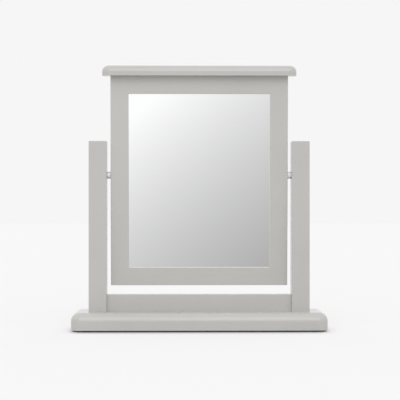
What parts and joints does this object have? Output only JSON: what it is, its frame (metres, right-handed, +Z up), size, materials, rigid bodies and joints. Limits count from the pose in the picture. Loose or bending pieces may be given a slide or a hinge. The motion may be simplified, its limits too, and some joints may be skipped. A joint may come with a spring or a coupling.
{
  "type": "dressing table mirror",
  "caption": "Free-standing tilting mirror: a painted frame with a moulded cap, pivoted between square posts on a rounded base board with a stretcher rail.",
  "frame": {"origin": "on the table top under the middle of the base, level with the underside of the foot pads", "axes": "+X to the mirror's right as seen from the front and along the tilt axis, +Y to the back, +Z up; the glass faces -Y"},
  "size_m": [0.524, 0.13, 0.546],
  "materials": {
    "painted_wood": "satin warm grey paint",
    "bare_wood": "unfinished beech",
    "mirror": "silvered float glass",
    "hardboard": "smooth pressed fibre board",
    "backing_felt": "pressed grey felt",
    "pad_felt": "pressed dark felt",
    "zinc_steel": "zinc plated",
    "satin_nickel": "satin nickel plate",
    "brass": "turned, unpolished",
    "nylon": "natural nylon"
  },
  "bodies": {
    "stand": {"base_board": "painted_wood", "foot_pads": "pad_felt", "left_post": "painted_wood", "right_post": "painted_wood", "stretcher_rail": "painted_wood", "stretcher_dowels": "bare_wood", "post_screws": "zinc_steel", "stretcher_screws": "zinc_steel", "left_bush": "nylon", "right_bush": "nylon", "left_cover_plug": "painted_wood", "right_cover_plug": "painted_wood"},
    "mirror": {"frame_left_stile": "painted_wood", "frame_right_stile": "painted_wood", "frame_top_rail": "painted_wood", "frame_bottom_rail": "painted_wood", "top_cap": "painted_wood", "frame_dowels": "bare_wood", "cap_dowels": "bare_wood", "back_board_screws": "zinc_steel", "left_pivot_bolt": "zinc_steel", "right_pivot_bolt": "zinc_steel", "left_spring_washer": "zinc_steel", "right_spring_washer": "zinc_steel", "left_insert_nut": "brass", "right_insert_nut": "brass", "left_pivot_spacer": "satin_nickel", "right_pivot_spacer": "satin_nickel", "mirror_glass": "mirror", "backing_strips": "backing_felt", "back_board": "hardboard"}
  },
  "joints": [
    {"name": "mirror_tilt", "type": "hinge", "parent": "stand", "child": "mirror", "pos_m": [0, 0, 0.3195], "axis": [1, 0, 0], "range_deg": [-168, 162]}
  ]
}
